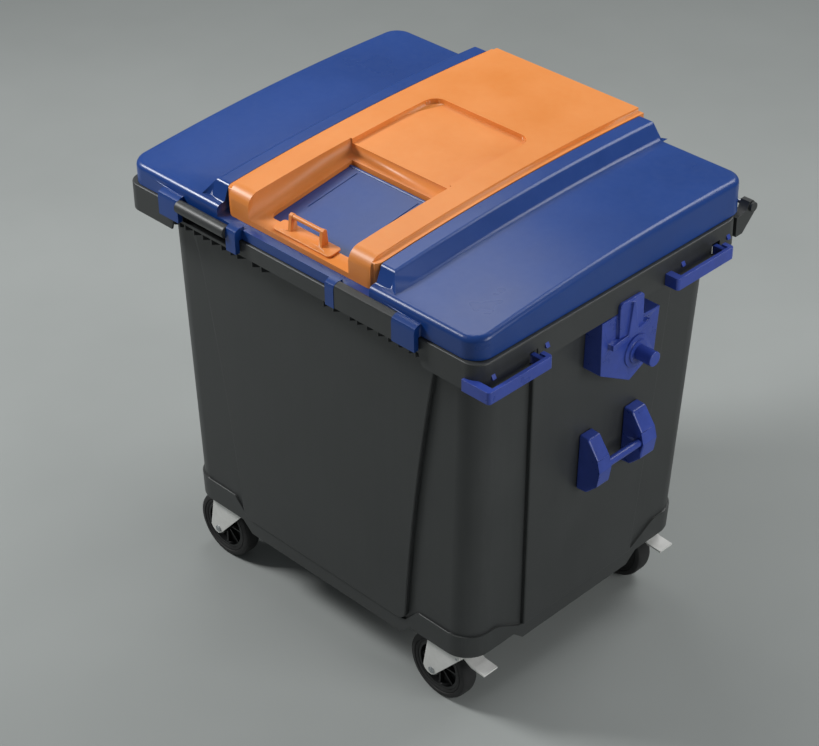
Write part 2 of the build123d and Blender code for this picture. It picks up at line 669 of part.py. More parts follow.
GRIP_SPIGOT = 5.0
spigot_y = ear_front + 9
SPIGOT_DEPTH = 12.0
KNUCKLE_HALF = 24.0
KNUCKLE_PLACES = (150.0, half_width - 180)
INNER_PIN_RADIUS = 4.0
inner_hinge_z = roof_z(lid_rear) + 19


# ---------------------------------------------------------------- front grips
def grip_spigots():
    """Round spigots that carry the grips between the ears, left one first."""
    places = [(ears[0][1] - SPIGOT_DEPTH, ears[1][0] + SPIGOT_DEPTH) for ears in (LEFT_EARS, RIGHT_EARS)]
    return [rod_x(GRIP_SPIGOT, start, end, spigot_y, grip_z) for start, end in places]


def grip_tube():
    """Round hand tube between the left ears."""
    tube = rod_x(GRIP_RADIUS, LEFT_EARS[0][1], LEFT_EARS[1][0], grip_y, grip_z)
    return tube + grip_spigots()[0]


def grip_plate():
    """Flat-faced pull plate with a rounded top between the right ears."""
    low, top = RIM_TOP - EAR_DROP + 2, RIM_TOP + EAR_RISE - 1
    front, back = ear_front + 1, lid_front - 1
    outline = [(front, low), (ear_back - 1, low), (ear_back - 1, LID_BOTTOM + 1), (back, LID_BOTTOM + 1),
               (back, top), (front + 14, top), (front + 3, top - 5), (front, top - 14)]
    return along_x(outline, RIGHT_EARS[0][1], RIGHT_EARS[1][0]) + grip_spigots()[1]


# ---------------------------------------------------------------- main hinge
BRACKET_HALF = 14.0
END_BRACKET = half_width - 26
ROD_HALF = half_width - 12
CAP_START = END_BRACKET + BRACKET_HALF + 2


def hinge_brackets():
    """Black brackets on the rear rim face that hold the hinge rod."""
    back = hinge_y + BRACKET_REACH
    outline = [(rim_rear, rim_bottom + 6), (rim_rear + 26, rim_bottom + 6), (back, hinge_z - 22),
               (back, hinge_z + 6), (hinge_y + 6, hinge_z + 15), (hinge_y - 8, hinge_z + 15),
               (hinge_y - 20, hinge_z - 6), (rim_rear, hinge_z - 12)]
    beside = KNUCKLE_HALF + BRACKET_HALF + 20
    places = [x + shift for x in KNUCKLE_PLACES for shift in (-beside, beside)] + [END_BRACKET]
    brackets = []
    for x in places:
        one = along_x(outline, x - BRACKET_HALF, x + BRACKET_HALF) - hinge_rod()
        brackets += mirrored_pair(one)
    return brackets


def hinge_rod():
    """The long steel hinge rod."""
    return rod_x(HINGE_ROD_RADIUS, -ROD_HALF, ROD_HALF, hinge_y, hinge_z)


def hinge_caps():
    """Push-on caps that close the ends of the rod."""
    cap = rod_x(HINGE_ROD_RADIUS + 7, CAP_START, CAP_START + 7, hinge_y, hinge_z)
    cap += rod_x(HINGE_ROD_RADIUS, ROD_HALF, CAP_START + 1, hinge_y, hinge_z)
    return mirrored_pair(cap)


# ---------------------------------------------------------------- inner lid
def inner_blank(shrink=0.0):
    """Outer shape of the orange inner lid, or the same pulled in by a margin."""
    front, rear = inner_front + shrink, inner_rear - shrink
    half = ORANGE_HALF - shrink
    floor = GAP - (8 if shrink else 0)
    brow_y = front + 34
    a, b, c = arc_points(ORANGE_RISE - shrink, brow_y, rear)
    low = [(front, ledge_z(front, -DECK_DROP + floor)),
           (WELL_REAR - 20, ledge_z(WELL_REAR - 20, -DECK_DROP + floor))]
    low += [(y, roof_z(y, DECK_LIFT + floor)) for y in deck_steps()]
    low.append((rear, inner_hinge_z - 2))
    brow_low = (front, a[1] - 42)
    brow_mid = (front + 9, a[1] - 13)
    x = -half
    lines = [ThreePointArc((x, *a), (x, *b), (x, *c)),
             Line((x, *c), (x, *low[-1]))]
    for first, second in zip(reversed(low[:-1]), reversed(low[1:])):
        lines.append(Line((x, *second), (x, *first)))
    lines.append(Line((x, *low[0]), (x, *brow_low)))
    lines.append(ThreePointArc((x, *brow_low), (x, *brow_mid), (x, *a)))
    blank = extrude(make_face(lines), amount=2 * half, dir=(1, 0, 0))
    blank &= extrude(plan(LID_BOTTOM, half, front, rear + 2 * FRONT_CORNER, FRONT_CORNER - shrink), amount=400)
    well_half = WELL_HALF + shrink
    before, well_rear = front - 100, WELL_REAR + shrink
    well = along_x([(before, ledge_z(before, -shrink)), (well_rear, ledge_z(well_rear, -shrink)),
                    (well_rear, OVER_LID), (before, OVER_LID)], -well_half, well_half)
    recess_rear = PANEL_REAR + shrink
    recess_half = PANEL_HALF + shrink
    c0 = WELL_REAR - 1
    a, b, c = arc_points(ORANGE_RISE - PANEL_SINK - shrink, c0, recess_rear)
    x = -recess_half
    face = make_face([ThreePointArc((x, *a), (x, *b), (x, *c)), Line((x, *c), (x, c[0], OVER_LID)),
                      Line((x, c[0], OVER_LID), (x, a[0], OVER_LID)), Line((x, a[0], OVER_LID), (x, *a))])
    recess = extrude(face, amount=2 * recess_half, dir=(1, 0, 0))
    rear_corners = recess.edges().filter_by(Axis.Z).sort_by(Axis.Y)[-2:]
    recess = fillet(rear_corners, 38)
    return blank - well - recess - mirrored_pair(flange_cut(shrink))


def flange_cut(shrink=0.0):
    """The space over the lower flange that runs along the outer side of the right rail."""
    start, end = ORANGE_HALF - FLANGE_WIDTH - shrink, ORANGE_HALF + 5
    y_range = (inner_front - 60, inner_rear + 60)
    lift = ORANGE_RISE - FLANGE_STEP - shrink
    kept = under_roof(start, end, lift, inner_front + FLANGE_STEP + shrink, y_range[1], RIM_TOP - 10)
    return block((start, end), y_range, (RIM_TOP, OVER_LID)) - kept


FRONT_CORNER = 30.0
APERTURE_CORNER = 22.0
SKIRT_WALL = 3.0
SKIRT_DROP = 19.0


def aperture(grow=0.0):
    """The throw-in opening, round at its two front corners, grown outwards by a margin."""
    x_range = (-APERTURE_HALF - grow, APERTURE_HALF + grow)
    opening = block(x_range, (APERTURE_FRONT - grow, APERTURE_REAR + grow), (RIM_TOP, OVER_LID))
    return fillet(opening.edges().filter_by(Axis.Z).sort_by(Axis.Y)[:2], APERTURE_CORNER + grow)


def aperture_skirt():
    """The wall that hangs round the throw-in opening, before the opening is cut."""
    front, rear = APERTURE_FRONT - SKIRT_WALL, APERTURE_REAR + SKIRT_WALL
    line = [(front, ledge_z(front, -SKIRT_DROP)), (front, ledge_z(front, -1)), (rear, ledge_z(rear, -1)),
            (rear, ledge_z(rear, -SKIRT_DROP))]
    half = APERTURE_HALF + SKIRT_WALL
    return along_x(line, -half, half) & aperture(SKIRT_WALL)


def inner_lid():
    """The orange inner lid: two rails, a throw-in well with a ledge and a sunk rear panel."""
    shell = inner_blank() - inner_blank(LID_WALL)
    shell = shell + aperture_skirt() - aperture()
    for side in (-1, 1):
        x_range = sorted((side * (ORANGE_HALF - 24), side * (ORANGE_HALF - 1)))
        shell = shell + rod_x(9, x_range[0], x_range[1], inner_hinge_y, inner_hinge_z)
        lug_x = sorted((side * (APERTURE_HALF + 2), side * (APERTURE_HALF + 11)))
        lug_line = [(flap_y - 9, flap_z - 9), (flap_y + 12, flap_z - 9), (flap_y + 12, ledge_z(flap_y + 12, -1)),
                    (flap_y - 9, ledge_z(flap_y - 9, -1))]
        shell = shell + along_x(lug_line, *lug_x)
        cut_x = sorted((side * (ORANGE_HALF - 25), side * (ORANGE_HALF + 1)))
        shell = shell - rod_x(INNER_PIN_RADIUS + RUNNING, *cut_x, inner_hinge_y, inner_hinge_z)
    return shell - flap_rod()


def inner_pins():
    """The two hinge pins of the inner lid, pressed into the ridge walls."""
    pin = rod_x(INNER_PIN_RADIUS, ORANGE_HALF - 20, CHANNEL_HALF + LID_WALL + 4, inner_hinge_y, inner_hinge_z)
    return mirrored_pair(pin)


APERTURE_FRONT = inner_front + 42
APERTURE_REAR = WELL_REAR - 23
FLAP_PIN_RADIUS = 3.0
FLAP_PLAY = 1.0
flap_y = APERTURE_REAR - 8
flap_z = ledge_z(flap_y, -13)


# ---------------------------------------------------------------- throw-in flap
FLAP_HALF = APERTURE_HALF - FLAP_PLAY
FLAP_THICKNESS = 4.0
flap_front = APERTURE_FRONT + FLAP_PLAY


def flap():
    """The blue flap under the aperture, with its hinge barrel and two stiffening grooves."""
    top_front = ledge_z(flap_front, -11)
    top_rear = ledge_z(flap_y, -11)
    plate = along_x([(flap_front, top_front - FLAP_THICKNESS), (flap_front, top_front), (flap_y, top_rear),
                     (flap_y, top_rear - FLAP_THICKNESS)], -FLAP_HALF, FLAP_HALF) & aperture(-FLAP_PLAY)
    barrel = rod_x(5.0, -FLAP_HALF, FLAP_HALF, flap_y, flap_z)
    start, end = APERTURE_FRONT + 95, APERTURE_REAR - 22
    groove = along_x([(start, ledge_z(start, -12.5)), (end, ledge_z(end, -12.5)), (end, OVER_LID),
                      (start, OVER_LID)], -FLAP_HALF + 38, -FLAP_HALF + 43)
    body = plate + barrel - groove - mirror(groove, about=Plane.YZ)
    return body - rod_x(FLAP_PIN_RADIUS + RUNNING, -FLAP_HALF - 1, FLAP_HALF + 1, flap_y, flap_z)


def flap_rod():
    """Thin hinge rod of the flap."""
    return rod_x(FLAP_PIN_RADIUS, -APERTURE_HALF - 8, APERTURE_HALF + 8, flap_y, flap_z)


HANDLE_STRIP_HALF = APERTURE_HALF - 48
HANDLE_POST_X = 55.0
HANDLE_HEIGHT = 36.0
HANDLE_BAR_RADIUS = 6.0
strip_front, strip_rear = APERTURE_FRONT - 33, APERTURE_FRONT + 11
bar_y = APERTURE_FRONT - 6
bar_z = ledge_z(bar_y, 6 + HANDLE_HEIGHT)


def handle_base():
    """Orange foot strip of the flap handle with its web and two posts."""
    middle = (strip_front + strip_rear) / 2
    slope = math.atan(LEDGE_SLOPE)
    ledge_plane = Plane((0, middle, ledge_z(middle, GAP)), x_dir=(1, 0, 0),
                        z_dir=(0, -math.sin(slope), math.cos(slope)))
    outline = ledge_plane * RectangleRounded(2 * HANDLE_STRIP_HALF, strip_rear - strip_front, 10)
    strip = extrude(outline, amount=6 - GAP)
    strip = fillet(strip.faces().sort_by(Axis.Z)[-1].edges(), 2)
    web_line = [(flap_front + 0.5, -11), (flap_front + 0.5, 3), (strip_rear - 1, 3), (strip_rear - 1, -11)]
    web = along_x([(y, ledge_z(y, lift)) for y, lift in web_line],
                  -HANDLE_STRIP_HALF + 12, HANDLE_STRIP_HALF - 12)
    body = strip + web
    post_line = [(bar_y - 13, ledge_z(bar_y - 13, 4)), (bar_y - 7, bar_z + 4), (bar_y, bar_z + 8),
                 (bar_y + 7, bar_z + 4), (bar_y + 11, ledge_z(bar_y + 11, 4))]
    for side in (-1, 1):
        x_range = sorted((side * (HANDLE_POST_X - 5), side * (HANDLE_POST_X + 5)))
        body = body + along_x(post_line, *x_range)
    return body - handle_bar()


def handle_bar():
    """Round cross bar of the flap handle."""
    return rod_x(HANDLE_BAR_RADIUS, -HANDLE_POST_X - 5, HANDLE_POST_X + 5, bar_y, bar_z)


# ---------------------------------------------------------------- castors
CASTOR_NAMES = ("front_left", "front_right", "rear_left", "rear_right")
BRAKED = ("front_right", "rear_right")
PEDAL_X = 57.0
PEDAL_PIN_Z = crown_bottom - 12.5
PEDAL_LENGTH = 80.0
FORK_NOSE = 68.0
PEDAL_PIN_RADIUS = 4.0


def fork():
    """Pressed steel fork about its own kingpin; the wheel trails towards -X."""
    foot = [(-31, 2), (-25, -9), (-15, -16), (-2, -18), (8, -13)]
    legs_outline = [(-TRAIL - 12, crown_top)] + [(dx - TRAIL, WHEEL_RADIUS + dz) for dx, dz in foot]
    legs_outline += [(FORK_NOSE, crown_top - 15), (FORK_NOSE, crown_top)]
    outer = along_y(legs_outline, -FORK_HALF, FORK_HALF)
    inner_half = FORK_HALF - FORK_PLATE
    inner = block((-WHEEL_RADIUS, WHEEL_RADIUS), (-inner_half, inner_half), (0, crown_bottom))
    head = rod_z(42, crown_top - 1, plate_bottom - GAP, 0, 0)
    body = outer - inner + head
    body = body - rod_z(KINGPIN_RADIUS + RUNNING, WHEEL_RADIUS, FLOOR_UNDERSIDE, 0, 0)
    return body - axle()


def castor_plate(x, y):
    """Square mounting plate under the floor with a rounded outline."""
    outline = Pos(x, y + PLATE_SHIFT, plate_bottom) * RectangleRounded(2 * BOLT_X + 32, 2 * BOLT_Y + 20, 10)
    plate = extrude(outline, amount=PLATE_THICKNESS)
    plate = plate - kingpin(x, y)
    for bolt_x, bolt_y in bolt_places():
        if abs(bolt_x - x) < 90 and abs(bolt_y - y) < 90:
            plate = plate - rod_z(BOLT_RADIUS, plate_bottom - 1, FLOOR_UNDERSIDE + 1, bolt_x, bolt_y)
    return plate


def kingpin(x, y):
    """Rivet that joins the plate and the fork head."""
    shank = rod_z(KINGPIN_RADIUS, crown_bottom - 0.3, FLOOR_UNDERSIDE, x, y)
    upper = rod_z(KINGPIN_HEAD, FLOOR_UNDERSIDE, FLOOR_UNDERSIDE + 6, x, y)
    return shank + upper


def castor_bolts():
    """Hexagon bolts that hold the castor plates."""
    bolts = []
    for x, y in bolt_places():
        head = Pos(x, y, plate_bottom - 6) * extrude(RegularPolygon(9, 6), amount=6)
        bolts.append(head + rod_z(BOLT_RADIUS, plate_bottom - 1, FLOOR_TOP + 6, x, y))
    return bolts


def axle():
    """Axle bolt with a flat round head at each end."""
    shank = rod_y(AXLE_RADIUS, -FORK_HALF, FORK_HALF, -TRAIL, WHEEL_RADIUS)
    heads = [rod_y(9.5, start, start + 3.5, -TRAIL, WHEEL_RADIUS) for start in (-FORK_HALF - 3.5, FORK_HALF)]
    return shank + heads


CORE_RADIUS = WHEEL_RADIUS - 27
CORE_HALF = TYRE_WIDTH / 2 - 4


SPOKES = 8


def wheel_core():
    """Plastic wheel centre: hub, web with openings and a deep rim."""
    rim_ring = rod_y(CORE_RADIUS, -CORE_HALF, CORE_HALF, -TRAIL, WHEEL_RADIUS)
    rim_ring = rim_ring - rod_y(CORE_RADIUS - 8, -CORE_HALF - 1, CORE_HALF + 1, -TRAIL, WHEEL_RADIUS)
    hub = rod_y(19, -hub_half, hub_half, -TRAIL, WHEEL_RADIUS)
    web = rod_y(CORE_RADIUS - 6, -3, 3, -TRAIL, WHEEL_RADIUS)
    body = rim_ring + hub + web
    inner, outer = 14, CORE_RADIUS - 6
    spokes = []
    for index in range(SPOKES):
        place = Pos(-TRAIL, 0, WHEEL_RADIUS) * Rot(0, index * 360 / SPOKES, 0) * Pos((inner + outer) / 2, 0, 0)
        spokes.append(place * Box(outer - inner, 30, 5))
    body = body + spokes
    return body - rod_y(AXLE_RADIUS + RUNNING, -FORK_HALF, FORK_HALF, -TRAIL, WHEEL_RADIUS)


def tyre():
    """Solid tyre around the core."""
    ring = rod_y(WHEEL_RADIUS, -TYRE_WIDTH / 2, TYRE_WIDTH / 2, -TRAIL, WHEEL_RADIUS)
    ring = fillet(ring.edges().filter_by(GeomType.CIRCLE), 9)
    return ring - rod_y(CORE_RADIUS, -TYRE_WIDTH, TYRE_WIDTH, -TRAIL, WHEEL_RADIUS)


def brake_pedal():
    """Bent foot pedal that presses on the tyre when it is pushed down."""
    barrel = rod_y(PEDAL_PIN_RADIUS + 4, -36, 36, PEDAL_X, PEDAL_PIN_Z)
    lever_line = [(2, 3), (2, -2), (34, -20), (PEDAL_LENGTH, -23), (PEDAL_LENGTH, -18), (36, -15)]
    shoe_line = [(-2, -5), (4, -7), (-4, -20), (-12, -14)]
    lever = along_y([(PEDAL_X + dx, PEDAL_PIN_Z + dz) for dx, dz in lever_line], -25, 25)
    shoe = along_y([(PEDAL_X + dx, PEDAL_PIN_Z + dz) for dx, dz in shoe_line], -20, 20)
    body = barrel + lever + shoe
    return body - rod_y(PEDAL_PIN_RADIUS + RUNNING, -FORK_HALF, FORK_HALF, PEDAL_X, PEDAL_PIN_Z)


def pedal_pin():
    """Pin across the fork that carries the pedal."""
    return rod_y(PEDAL_PIN_RADIUS, -FORK_HALF, FORK_HALF, PEDAL_X, PEDAL_PIN_Z)


# ---------------------------------------------------------------- write every node
def write_tub_parts():
    """Tub and everything fixed to it."""
    save("tub", tub())
    save("drain_plug", drain_plug())
    save("drain_seal", drain_seal())
    right = {"trunnion_plate": trunnion_plate(), "trunnion_pin": trunnion_pin(),
             "wall_handle_bar": wall_bar()}
    for name, shape in right.items():
        save(f"{name}_right", shape)
        save(f"{name}_left", mirror(shape, about=Plane.YZ))
    brackets = wall_brackets()
    save("wall_handle_brackets_right", brackets)
    save("wall_handle_brackets_left", [mirror(b, about=Plane.YZ) for b in brackets])
    for name, y_range in RIM_HANDLES.items():
        save(f"rim_handle_{name}", rim_handle(y_range))
    save("rim_handle_clips", rim_clips())
    save("hinge_brackets", hinge_brackets())
    save("hinge_rod", hinge_rod())
    save("hinge_caps", hinge_caps())


def write_lids():
    """Main lid, inner lid, flap and what they carry."""
    save("main_lid", main_lid())
    save("grip_tube_left", grip_tube())
    save("grip_plate_right", grip_plate())
    save("inner_lid", inner_lid())
    save("inner_lid_pins", inner_pins())
    save("flap", flap())
    save("flap_rod", flap_rod())
    save("flap_handle_base", handle_base())
    save("flap_handle_bar", handle_bar())


def write_castors():
    """Four swivel castors; the two on the right have brakes."""
    save("castor_bolts", castor_bolts())
    fork_shape, axle_shape, core_shape, tyre_shape = fork(), axle(), wheel_core(), tyre()
    braked_fork = fork_shape - pedal_pin()
    pedal, pin = brake_pedal(), pedal_pin()
    for name, (x, y) in zip(CASTOR_NAMES, castor_places()):
        place = Pos(x, y, 0)
        save(f"castor_plate_{name}", castor_plate(x, y))
        save(f"castor_kingpin_{name}", kingpin(x, y))
        save(f"castor_fork_{name}", place * (braked_fork if name in BRAKED else fork_shape))
        save(f"castor_axle_{name}", place * axle_shape)
        save(f"wheel_core_{name}", place * core_shape)
        save(f"wheel_tyre_{name}", place * tyre_shape)
        if name in BRAKED:
            save(f"brake_pedal_{name}", place * pedal)
            save(f"brake_pin_{name}", place * pin)


write_castors()
write_lids()
write_tub_parts()
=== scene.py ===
"""Four-wheeled waste container: finishes, moulded details, light and camera round its fixed frame.

Sizes in the classes are millimetres in the container's own plan, with Y = 0 midway between the
front and rear faces of the rim.  `place` turns them into metres in the stored frame.
"""

import json
import logging
import math
from dataclasses import dataclass, field
from enum import Enum
from typing import Callable, Iterable

import bmesh
import bpy
from mathutils import Matrix, Vector

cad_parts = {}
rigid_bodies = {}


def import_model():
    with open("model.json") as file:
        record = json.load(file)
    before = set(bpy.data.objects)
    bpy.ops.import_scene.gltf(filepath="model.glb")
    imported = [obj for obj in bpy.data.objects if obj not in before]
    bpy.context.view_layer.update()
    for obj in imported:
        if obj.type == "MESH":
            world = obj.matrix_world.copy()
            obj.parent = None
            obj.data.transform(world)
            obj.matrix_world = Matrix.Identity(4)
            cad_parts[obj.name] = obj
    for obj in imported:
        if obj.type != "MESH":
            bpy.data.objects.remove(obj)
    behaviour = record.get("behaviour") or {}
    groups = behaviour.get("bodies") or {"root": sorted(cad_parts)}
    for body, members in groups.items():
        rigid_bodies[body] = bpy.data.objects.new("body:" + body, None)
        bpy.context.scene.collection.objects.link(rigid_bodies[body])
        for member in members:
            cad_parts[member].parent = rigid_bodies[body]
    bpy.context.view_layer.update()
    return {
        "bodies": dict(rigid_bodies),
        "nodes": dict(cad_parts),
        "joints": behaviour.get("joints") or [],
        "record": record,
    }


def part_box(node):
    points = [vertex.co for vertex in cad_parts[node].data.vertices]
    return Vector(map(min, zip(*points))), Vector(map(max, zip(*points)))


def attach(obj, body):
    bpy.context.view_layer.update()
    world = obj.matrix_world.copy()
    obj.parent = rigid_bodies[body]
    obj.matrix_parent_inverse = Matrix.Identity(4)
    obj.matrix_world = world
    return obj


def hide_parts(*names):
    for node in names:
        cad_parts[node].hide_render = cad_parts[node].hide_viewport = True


LOG = logging.getLogger("container")
MM = 0.001
# How far the stored frame's origin lies from the plan's along Y.
FRAME_SHIFT_Y = -22.0
# How strongly wide faces lead the shading of the small ones beside them, in percent.
FACE_WEIGHT = 90
# Edges sharper than this many degrees are shaded sharp.
SMOOTH_TO = 32.0
# Range of a noise that is stretched over the whole way from one tone to the other.
NOISE_LOW, NOISE_HIGH = 0.3, 0.7
# Moulding runs: narrow across and long up the wall, in patches per metre.
RUN_SCALE = (60.0, 60.0, 2.2)
# Clouds of dust and of painted sheen on faces that face up, in patches per metre, and the range of
# cover they are faded in over.
DUST_AND_SHEEN_SCALE = 55.0
DUST_AND_SHEEN_LOW, DUST_AND_SHEEN_HIGH = 0.2, 0.8
GRAIN_STRENGTH = 0.35


def place(x: float, y: float, z: float) -> Vector:
    """Return the stored-frame point, in metres, of a point in the container's plan."""
    return Vector((x, y + FRAME_SHIFT_Y, z)) * MM


def linear(hex_colour: str) -> tuple[float, float, float, float]:
    """Turn an sRGB hex colour into linear values.

    Args:
        hex_colour: Six hex digits, with or without a leading hash sign.

    Returns:
        Linear red, green, blue and an alpha of one.
    """
    digits = hex_colour.lstrip("#")
    channels = [int(digits[i:i + 2], 16) / 255 for i in (0, 2, 4)]
    lin = [c / 12.92 if c <= 0.04045 else ((c + 0.055) / 1.055) ** 2.4 for c in channels]
    return lin[0], lin[1], lin[2], 1.0


class Slot(str, Enum):
    """Material slots of the record."""

    TUB = "black_polyethylene"
    LID = "blue_polyethylene"
    HANDLE = "blue_polyamide"
    INNER = "orange_polyethylene"
    FORK = "white_coated_steel"
    ZINC = "zinc_steel"
    CORE = "wheel_plastic"
    TYRE = "tyre_rubber"
    SEAL = "rubber_seal"


def add_node(tree: bpy.types.NodeTree, kind: str, settings: dict | None = None,
             inputs: dict | None = None) -> bpy.types.Node:
    """Add one node to a tree.

    Args:
        tree: The shader or geometry tree.
        kind: The node's type name.
        settings: Node properties to set.
        inputs: Values or output sockets by input name or number.

    Returns:
        The new node.
    """
    node = tree.nodes.new(kind)
    for key, value in (settings or {}).items():
        setattr(node, key, value)
    for key, value in (inputs or {}).items():
        if isinstance(value, bpy.types.NodeSocket):
            tree.links.new(value, node.inputs[key])
        else:
            node.inputs[key].default_value = value
    return node


@dataclass(frozen=True)
class Finish:
    """A finish with two tones, a surface grain and a roughness that wanders a little."""

    name: str
    light: str
    dark: str
    roughness: float
    spread: float = 0.08
    metallic: float = 0.0
    ior: float = 1.5
    patch_mm: float = 140.0
    grain_mm: float = 1.6
    grain_depth_mm: float = 0.06
    streak: float = 0.0
    # Tone laid on faces that face up: real dust, and on the lid and the inner lid a painted sheen.
    dust_and_sheen: str = ""
    dust_and_sheen_share: float = 0.0

    def build(self) -> bpy.types.Material:
        """Build the material's node tree and return the material."""
        material = bpy.data.materials.new(self.name)
        material.use_nodes = True
        tree = material.node_tree
        shader = tree.nodes["Principled BSDF"]
        where = add_node(tree, "ShaderNodeTexCoord").outputs["Object"]
        patches = add_node(tree, "ShaderNodeTexNoise", {}, {
            "Vector": where, "Scale": 1 / (self.patch_mm * MM), "Detail": 4.0, "Roughness": 0.6})
        tone = patches.outputs["Fac"]
        if self.streak:
            drawn = add_node(tree, "ShaderNodeMapping", {}, {
                "Vector": where, "Scale": RUN_SCALE})
            runs = add_node(tree, "ShaderNodeTexNoise", {}, {
                "Vector": drawn.outputs[0], "Scale": 1.0, "Detail": 3.0})
            tone = add_node(tree, "ShaderNodeMix", {"data_type": "FLOAT"}, {
                0: self.streak, 2: tone, 3: runs.outputs["Fac"]}).outputs[0]
        stretched = add_node(tree, "ShaderNodeMapRange", {}, {
            "Value": tone, "From Min": NOISE_LOW, "From Max": NOISE_HIGH}).outputs[0]
        colour = add_node(tree, "ShaderNodeMix", {"data_type": "RGBA"}, {
            0: stretched, 6: linear(self.dark), 7: linear(self.light)}).outputs[2]
        # Dust, and on some finishes a painted sheen, on faces that face up.
        if self.dust_and_sheen:
            colour = self._dusted_and_sheened(tree, where, colour)
        tree.links.new(colour, shader.inputs["Base Color"])
        rough = add_node(tree, "ShaderNodeMapRange", {}, {
            "Value": tone, "From Min": NOISE_LOW, "From Max": NOISE_HIGH,
            "To Min": self.roughness - self.spread / 2,
            "To Max": self.roughness + self.spread / 2})
        tree.links.new(rough.outputs[0], shader.inputs["Roughness"])
        grain = add_node(tree, "ShaderNodeTexVoronoi", {}, {
            "Vector": where, "Scale": 1 / (self.grain_mm * MM)})
        bump = add_node(tree, "ShaderNodeBump", {}, {
            "Strength": GRAIN_STRENGTH, "Distance": self.grain_depth_mm * MM,
            "Height": grain.outputs["Distance"]})
        tree.links.new(bump.outputs[0], shader.inputs["Normal"])
        shader.inputs["Metallic"].default_value = self.metallic
        shader.inputs["IOR"].default_value = self.ior
        return material

    def _dusted_and_sheened(self, tree: bpy.types.NodeTree, where: bpy.types.NodeSocket,
                colour: bpy.types.NodeSocket) -> bpy.types.NodeSocket:
        """Lay a thin dust on surfaces that face up; on some finishes the same tone is a painted
        sheen, lighter where light falls on top.

        Args:
            tree: The material's tree.
            where: Socket of the object coordinates.
            colour: Socket of the clean colour.

        Returns:
            Socket of the colour with its dust and painted sheen.
        """
        facing = add_node(tree, "ShaderNodeSeparateXYZ", {}, {
            0: add_node(tree, "ShaderNodeNewGeometry").outputs["Normal"]}).outputs[2]
        cloud = add_node(tree, "ShaderNodeTexNoise", {}, {
            "Vector": where, "Scale": DUST_AND_SHEEN_SCALE, "Detail": 6.0})
        cover = add_node(tree, "ShaderNodeMath", {"operation": "MULTIPLY"}, {
            0: facing, 1: cloud.outputs["Fac"]})
        share = add_node(tree, "ShaderNodeMapRange", {}, {
            "Value": cover.outputs[0], "From Min": DUST_AND_SHEEN_LOW, "From Max": DUST_AND_SHEEN_HIGH,
            "To Max": self.dust_and_sheen_share})
        return add_node(tree, "ShaderNodeMix", {"data_type": "RGBA"}, {
            0: share.outputs[0], 6: colour, 7: linear(self.dust_and_sheen)}).outputs[2]


# What each finish is in the real container, and what that gives the eye.
FINISHES: dict[Slot, Finish] = {
    # High-density polyethylene from a large textured mould: nearly black, soft even sheen.
    Slot.TUB: Finish("polyethylene_black_injection_moulded", "3c3e3e", "323434", 0.46, 0.1,
                     patch_mm=260, streak=0.35, dust_and_sheen="6d6f6a", dust_and_sheen_share=0.16),
    # The same plastic dyed blue, from a polished mould: clear broad highlights. Its pale blue tone
    # on faces that face up is a painted sky reflection, not dust.
    Slot.LID: Finish("polyethylene_blue_injection_moulded", "17428c", "143b7f", 0.3, 0.06,
                     patch_mm=320, grain_mm=1.2, grain_depth_mm=0.015, dust_and_sheen="7e8db4",
                     dust_and_sheen_share=0.05),
    # Polyamide of the handles and lifting boxes: a purer blue with a satin gloss.
    Slot.HANDLE: Finish("polyamide_blue_injection_moulded", "3a50ac", "314698", 0.3, 0.08,
                        patch_mm=60, grain_mm=1.0, grain_depth_mm=0.03),
    # Orange polyethylene: warm, slightly translucent looking, satin. Its pale orange tone on faces
    # that face up is painted light, tops lighter where light falls, not dust.
    Slot.INNER: Finish("polyethylene_orange_injection_moulded", "ec934b", "e38637", 0.4, 0.07,
                       patch_mm=220, grain_mm=1.2, grain_depth_mm=0.03, dust_and_sheen="e9b27c",
                       dust_and_sheen_share=0.1),
    # Powder-coated pressed steel: bright white with a fine orange-peel skin.
    Slot.FORK: Finish("steel_powder_coated_white", "e9e9e6", "dcdcd8", 0.34, 0.08,
                      patch_mm=40, grain_mm=2.4, grain_depth_mm=0.04),
    # Zinc-plated steel, drawn or turned: grey metal with a soft blurred shine.
    Slot.ZINC: Finish("steel_zinc_plated_turned", "c3c6c8", "a9adb0", 0.3, 0.12, metallic=1.0,
                      patch_mm=12, grain_mm=0.8, grain_depth_mm=0.02),
    # Glass-filled polyamide wheel centre: black with a dull sheen.
    Slot.CORE: Finish("polyamide_black_glass_filled_moulded", "1d1e1f", "151617", 0.42, 0.1,
                      patch_mm=30),
    # Solid vulcanised rubber tyre: dark grey and matt, a little dusty.
    Slot.TYRE: Finish("rubber_vulcanised_solid_tyre", "2b2b2b", "1f1f20", 0.72, 0.1,
                      patch_mm=25, grain_mm=2.0, grain_depth_mm=0.1, dust_and_sheen="5b5852",
                      dust_and_sheen_share=0.25),
    # Cut sheet of EPDM rubber: black and matt.
    Slot.SEAL: Finish("rubber_epdm_die_cut", "222222", "191919", 0.8, 0.08, patch_mm=15),
}


# Painted concrete of the studio's floor: pale and quite matt.
FLOOR_FINISH = Finish("floor_matt_painted_concrete", "a3a7a5", "9a9e9c", 0.85, 0.05,
                      patch_mm=1800, grain_mm=9, grain_depth_mm=0.05)


def shade_by_angle(mesh: bpy.types.Mesh, degrees: float = SMOOTH_TO) -> None:
    """Shade a mesh smooth except across edges sharper than the angle."""
    mesh.shade_smooth()
    mesh.set_sharp_from_angle(angle=math.radians(degrees))


def even_normals(piece: bpy.types.Object) -> None:
    """Let wide faces set the shading, so that flat walls stay flat beside small roundings.

    Args:
        piece: The piece; its mesh is exchanged for one with the new shading.
    """
    modifier = piece.modifiers.new("wide faces lead", "WEIGHTED_NORMAL")
    modifier.mode = "FACE_AREA"
    modifier.weight = FACE_WEIGHT
    modifier.keep_sharp = True
    evaluated = piece.evaluated_get(bpy.context.evaluated_depsgraph_get())
    mesh = bpy.data.meshes.new_from_object(evaluated)
    piece.modifiers.clear()
    mesh.name = piece.data.name
    piece.data = mesh


